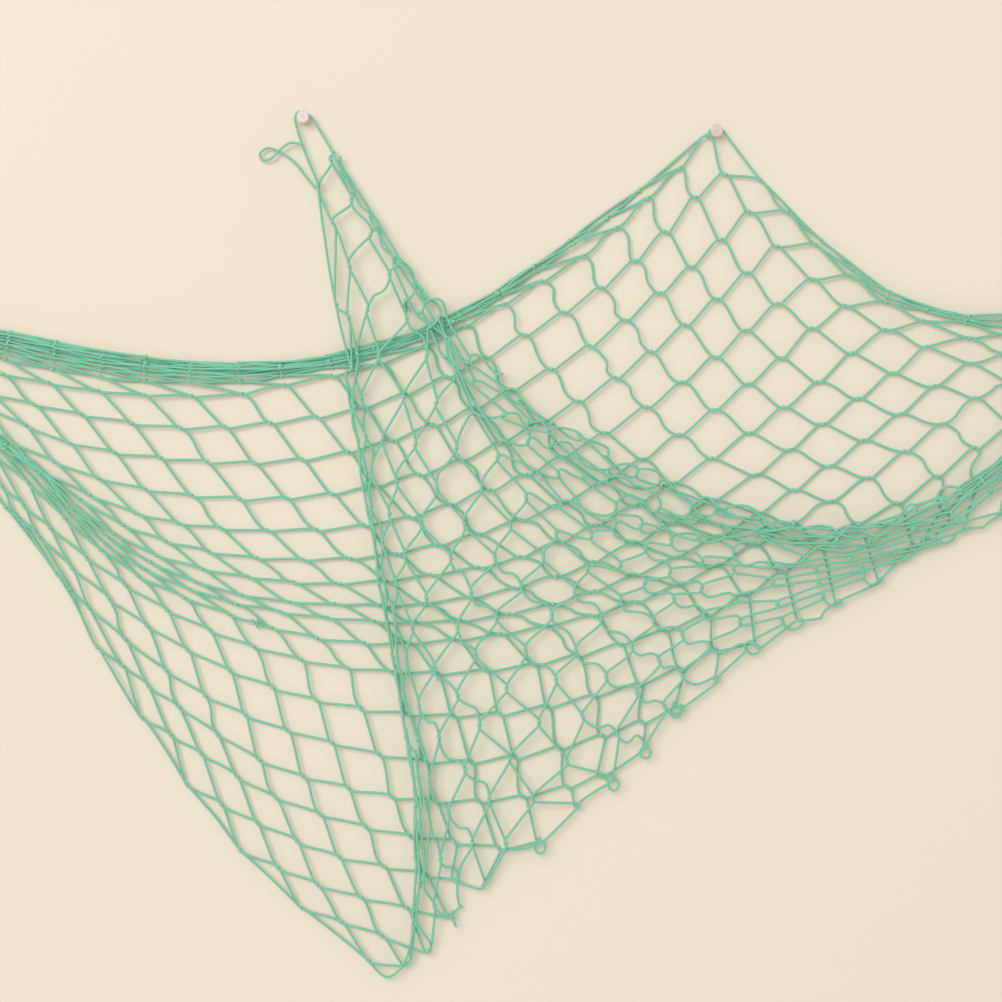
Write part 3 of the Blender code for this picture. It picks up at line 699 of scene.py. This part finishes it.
def bar_give(points, bars, keys):
    """Most slack a rear bar may show. Strands that rise to the right are nearly taut."""
    middle = (points[bars[:, 0], 0] + points[bars[:, 1], 0]) / 2
    rows = np.array([keys[k][1] for k in bars[:, 0]])
    falls = np.array([keys[a][0] == keys[b][0] for a, b in bars])
    bowed = np.exp(-((middle - BOWED_MIDDLE) / BOWED_REACH) ** 2)
    bowed = bowed * np.clip(1 - rows / BOWED_ROWS, 0.0, 1.0)
    falling = REAR_FALLING_GIVE[0] + REAR_FALLING_GIVE[1] * bowed
    rising = REAR_RISING_GIVE[0] + REAR_RISING_GIVE[1] * bowed
    slack = np.where(falls, falling, rising)
    lower = np.clip((rows - LOWER_ROWS[0]) / LOWER_ROWS[1], 0.0, 1.0)
    right = np.clip((middle - LOWER_ACROSS[0]) / LOWER_ACROSS[1], 0.0, 1.0)
    slack += LOWER_GIVE * lower * right
    return np.where(rows < 0, REAR_RISING_GIVE[0], slack)


def front_give(knots, bars, keys):
    """Most slack a front bar may show: it loops at the fold, and is drawn taut above."""
    result = np.zeros(len(bars))
    uneven = RANDOM.uniform(*UNEVEN_GIVE, len(bars))
    for k, (a, b) in enumerate(bars):
        at_fold = knots[keys[a]][1] == "rear" or knots[keys[b]][1] == "rear"
        falls = keys[a][0] == keys[b][0]
        slack = FOLD_GIVE if at_fold else (FALLING_GIVE if falls else RISING_GIVE)
        down = (keys[a][1] - keys[a][0]) / 2
        slack += (DRAWN_GIVE * uneven[k] - slack) * drawn_shut(*keys[a])
        in_bundle = (down - MESHES_DEEP + SLACK_MESHES[0]) / SLACK_MESHES[1]
        in_bundle = min(max(in_bundle, 0.0), 1.0)
        result[k] = slack + (BUNDLE_GIVE - slack) * in_bundle
    return result


def edge_loops(index, points, axes):
    """The long loops between the knots of the two bound edges, top and bottom.

    The loop over the middle pin and the one about the tip have routes of their own.
    """
    deep = 2 * MESHES_DEEP
    at_pin = 1
    at_tip = -19
    pairs = [((k - 1, k - 1), (k, k)) for k in range(-9, 7) if k != at_pin]
    pairs += [((i - 1, i - 1 + deep), (i, i + deep)) for i in range(-28, -9) if i != at_tip]
    bars = [(index[a], index[b]) for a, b in pairs if a in index and b in index]
    return bar_curves(points, axes, np.array(bars), EDGE_LOOP, EDGE_GIVE, EDGE_LEAN, 0.0)


def knot_curves(points, axes):
    """Each knot as a tight lump of twine about its own axis."""
    t = np.linspace(0.0, 1.0, KNOT_STEPS)
    turn = 2 * math.pi * KNOT_TURNS * t
    side = np.cross(axes, np.array((0.0, 1.0, 0.0)))
    side /= np.maximum(np.linalg.norm(side, axis=1, keepdims=True), 1e-6)
    out = np.cross(side, axes)
    reach = KNOT_HALF * (2 * t - 1)
    wide = KNOT_COIL * np.sin(math.pi * t)
    phase = RANDOM.uniform(0, 2 * math.pi, len(points))[:, None]
    return (points[:, None] + axes[:, None] * reach[None, :, None]
            + side[:, None] * (wide[None] * np.cos(turn[None] + phase))[:, :, None]
            + out[:, None] * (wide[None] * np.sin(turn[None] + phase))[:, :, None])


def pin_loops(material):
    """The loops over the two pins that show, and the slack loop that hangs beside one."""
    pieces = []
    for name, path, swing in (("flap", FLAP_LOOP_PX, 0.0), ("middle", MIDDLE_LOOP_PX, 0.0),
                              ("slack", SLACK_LOOP_PX, SLACK_SWING)):
        line = np.array([place(point) for point in path])
        shares = np.linspace(0.0, 1.0, LOOP_STEPS)
        spots = np.array([along(line, share) for share in shares])
        depth = REAR_DEPTH + LOOP_LIFT + swing * np.cos(2 * math.pi * shares)
        curve = np.column_stack((spots[:, 0], -depth, spots[:, 1]))
        pieces.append(tube_mesh(f"net_loop_{name}", curve[None], TWINE_RADIUS, LOOP_SIDES,
                                material))
    return pieces


def ties(material):
    """The bunched ends, bound with a few turns of twine and looped over the outer pins."""
    pieces = []
    for name, (_, end, height) in zip(("left", "right"), GATHERS_PX):
        pin = PINS_MM[name]
        foot = place((end, height))
        inward = 1.0 if name == "left" else -1.0
        along_band, off_wall, up = BINDING_OFFSET
        middle = np.array((foot[0] + along_band * inward, -REAR_DEPTH + off_wall, foot[1] + up))
        turns = np.linspace(0.0, BINDING_TURNS, BINDING_STEPS)
        angle = 2 * math.pi * turns
        binding = np.column_stack((
            middle[0] + inward * (turns - BINDING_TURNS / 2) * BINDING_PITCH,
            middle[1] + BINDING_HALF[0] * np.sin(angle),
            middle[2] + BINDING_HALF[1] * np.cos(angle)))
        pieces.append(tube_mesh(f"net_binding_{name}", binding[None], TWINE_RADIUS, WRAP_SIDES,
                                material))
        first, last = (turn * math.pi for turn in OUTER_LOOP_TURN)
        angle = np.linspace(first, last, OUTER_LOOP_STEPS)
        loop = np.column_stack((
            pin[0] + OUTER_LOOP_RADIUS * np.cos(angle),
            np.full(OUTER_LOOP_STEPS, -REAR_DEPTH),
            pin[1] + OUTER_LOOP_RADIUS * np.sin(angle)))
        half, height = OUTER_LOOP_FEET
        feet = [middle + (across, 0.0, height) for across in (half, -half)]
        loop = np.vstack((feet[0], loop, feet[1]))
        pieces.append(tube_mesh(f"net_loop_{name}", loop[None], TWINE_RADIUS, WRAP_SIDES,
                                material))
    return pieces


def tip_loop(start, end, material):
    """The loop of the edge that hangs about the tip of the net, from knot to knot."""
    line = np.vstack((start[[0, 2]], [place(point) for point in TIP_LOOP_PX], end[[0, 2]]))
    shares = np.linspace(0.0, 1.0, LOOP_STEPS)
    spots = np.array([along(line, share) for share in shares])
    depth = start[1] + (end[1] - start[1]) * shares
    curve = np.column_stack((spots[:, 0], depth, spots[:, 1]))
    return [tube_mesh("net_tip_loop", curve[None], TWINE_RADIUS, TUBE_SIDES, material)]


def small_ends(material):
    """Slack loops at the fold, a cut end, and the frayed tufts of a few knots."""
    ears = []
    for middle in EARS_PX:
        centre = place(middle)
        first, last = (math.radians(turn) for turn in EAR_DEGREES)
        angle = np.linspace(first, last, EAR_STEPS)
        ring = np.column_stack((
            centre[0] + EAR_HALF[0] * np.cos(angle),
            -FOLD_DEPTH + EAR_SWING * np.cos(angle / 2),
            centre[1] + EAR_HALF[1] * np.sin(angle)))
        knot = np.array((centre[0] + EAR_KNOT[0], -FOLD_DEPTH, centre[1] + EAR_KNOT[1]))
        ears.append(np.vstack((knot, ring, knot)))
    cut = np.array([place(point) for point in CUT_END_PX])
    cut = np.column_stack((cut[:, 0], np.full(len(cut), -FOLD_DEPTH), cut[:, 1]))
    hairs = []
    for spot in TUFTS_PX:
        root = place(spot)
        for _ in range(TUFT_HAIRS):
            angle = RANDOM.uniform(0.0, 2 * math.pi)
            reach = RANDOM.uniform(*HAIR_REACH)
            way = np.array((math.cos(angle), HAIR_RISE, math.sin(angle))) * reach
            bend = RANDOM.normal(0.0, HAIR_BEND, 3)
            t = np.linspace(0.0, 1.0, HAIR_STEPS)[:, None]
            start = np.array((root[0], -REAR_DEPTH - 1.0, root[1]))
            hairs.append(start + way * t + bend * t ** 2)
    return [
        tube_mesh("net_fold_loops", np.array(ears), TWINE_RADIUS, TUBE_SIDES, material),
        tube_mesh("net_cut_end", cut[None], TWINE_RADIUS, TUBE_SIDES, material),
        tube_mesh("net_frayed_tufts", np.array(hairs), HAIR_RADIUS, HAIR_SIDES, material),
    ]


def make_net():
    """Bars, knots, edge loops and small ends of the net, each kind a piece of its own."""
    knots = lattice()
    keys, index, spots, bars = settle(knots)
    level = depths(keys, knots, spots)
    points = np.column_stack((spots[:, 0], -level, spots[:, 1]))
    front = np.array([knots[key][1] != "rear" for key in keys])
    axes = knot_axes(keys, index, points, front)
    material = twine_material()
    is_front = front[bars[:, 0]] | front[bars[:, 1]]
    give = np.where(is_front, front_give(knots, bars, keys), bar_give(points, bars, keys))
    lean = np.where(is_front, FRONT_LEAN, REAR_LEAN)
    drawn = np.array([drawn_shut(*keys[a]) for a in bars[:, 0]])
    bow = np.where(is_front, OPEN_BOW + (DRAWN_BOW - OPEN_BOW) * drawn, 0.0)
    curves = bar_curves(points, axes, bars, BAR, give, lean, bow)
    loops = edge_loops(index, points, axes)
    net = tube_mesh("net_bars", curves, TWINE_RADIUS, TUBE_SIDES, material)
    edge = tube_mesh("net_edge_loops", loops, TWINE_RADIUS, TUBE_SIDES, material)
    lump = np.sin(math.pi * np.linspace(*KNOT_ENDS, KNOT_STEPS)) ** KNOT_ROUND
    lump = KNOT_RADIUS * lump
    wraps = tube_mesh("net_knots", knot_curves(points, axes), lump, WRAP_SIDES, material)
    others = [edge, wraps] + pin_loops(material) + ties(material) + small_ends(material)
    others += tip_loop(points[index[(-20, 18)]], points[index[(-19, 19)]], material)
    for piece in [net] + others:
        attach(piece, "root")
    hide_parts("net")


def make_camera():
    """A camera square to the wall, far enough off to see the photograph's part of it."""
    data = bpy.data.cameras.new("camera")
    data.lens = LENS_MM
    data.sensor_width = SENSOR_MM
    camera = bpy.data.objects.new("camera", data)
    width = PHOTO_WIDTH_PX * PIXEL_MM * MM
    middle = place((PHOTO_WIDTH_PX / 2, PHOTO_WIDTH_PX / 2)) * MM
    away = width * data.lens / data.sensor_width
    camera.location = (middle[0], -away - REAR_DEPTH * MM, middle[1])
    camera.rotation_euler = (math.radians(90), 0.0, 0.0)
    bpy.context.scene.collection.objects.link(camera)
    bpy.context.scene.camera = camera


def make_wall():
    """A plain cream wall that shows from the room only."""
    bpy.ops.mesh.primitive_plane_add(size=WALL_SIZE, location=NET_MIDDLE,
                                     rotation=(math.radians(90), 0.0, 0.0))
    wall = bpy.context.object
    wall.name = "wall"
    material = bpy.data.materials.new("cream_wall")
    material.use_nodes = True
    nodes = material.node_tree.nodes
    links = material.node_tree.links
    shader = nodes["Principled BSDF"]
    shader.inputs["Base Color"].default_value = WALL_CREAM
    shader.inputs["Roughness"].default_value = 0.9
    side = nodes.new("ShaderNodeNewGeometry")
    clear = nodes.new("ShaderNodeBsdfTransparent")
    mix = nodes.new("ShaderNodeMixShader")
    links.new(side.outputs["Backfacing"], mix.inputs[0])
    links.new(shader.outputs[0], mix.inputs[1])
    links.new(clear.outputs[0], mix.inputs[2])
    links.new(mix.outputs[0], nodes["Material Output"].inputs["Surface"])
    wall.data.materials.append(material)


def make_light():
    """Soft light of a room, and a large window to the left."""
    world = bpy.data.worlds.new("room")
    world.use_nodes = True
    background = world.node_tree.nodes["Background"]
    background.inputs["Color"].default_value = ROOM_COLOUR
    background.inputs["Strength"].default_value = ROOM_STRENGTH
    bpy.context.scene.world = world
    data = bpy.data.lights.new("window", "AREA")
    data.shape = "RECTANGLE"
    data.size, data.size_y = LAMP_SIZE
    data.energy = LAMP_WATTS
    data.color = LAMP_COLOUR
    lamp = bpy.data.objects.new("window", data)
    lamp.location = LAMP_PLACE
    aim = np.array(NET_MIDDLE) - np.array(lamp.location)
    lamp.rotation_euler = (math.atan2(np.hypot(aim[0], aim[1]), -aim[2]), 0.0,
                           math.atan2(aim[1], aim[0]) - math.pi / 2)
    bpy.context.scene.collection.objects.link(lamp)
    bpy.context.scene.view_settings.view_transform = "Standard"


def clear_material():
    """Clear moulded plastic, faintly cloudy and pinkish, with a soft uneven gloss."""
    material = bpy.data.materials.new("clear_plastic_pin")
    material.use_nodes = True
    nodes = material.node_tree.nodes
    links = material.node_tree.links
    shader = nodes["Principled BSDF"]
    where = nodes.new("ShaderNodeNewGeometry")
    cloud = nodes.new("ShaderNodeTexNoise")
    cloud.inputs["Scale"].default_value = 320.0
    cloud.inputs["Detail"].default_value = 2.0
    links.new(where.outputs["Position"], cloud.inputs["Vector"])
    tint = nodes.new("ShaderNodeMix")
    tint.data_type = "RGBA"
    tint.inputs[6].default_value = PIN_TINTS[0]
    tint.inputs[7].default_value = PIN_TINTS[1]
    links.new(cloud.outputs[0], tint.inputs[0])
    links.new(tint.outputs[2], shader.inputs["Base Color"])
    gloss = nodes.new("ShaderNodeMapRange")
    gloss.inputs["To Min"].default_value = 0.10
    gloss.inputs["To Max"].default_value = 0.34
    links.new(cloud.outputs[0], gloss.inputs["Value"])
    links.new(gloss.outputs[0], shader.inputs["Roughness"])
    ripple = nodes.new("ShaderNodeBump")
    ripple.inputs["Strength"].default_value = 0.25
    ripple.inputs["Distance"].default_value = 0.0003
    links.new(cloud.outputs[0], ripple.inputs["Height"])
    links.new(ripple.outputs["Normal"], shader.inputs["Normal"])
    shader.inputs["IOR"].default_value = 1.40
    shader.inputs["Transmission Weight"].default_value = 0.45
    return material


def finish_pins():
    """Gives the four pins their clear plastic."""
    material = clear_material()
    for name in PINS_MM:
        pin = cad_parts[f"pin_{name}"]
        pin.data.materials.clear()
        pin.data.materials.append(material)


make_camera()
make_wall()
make_light()
make_net()
finish_pins()
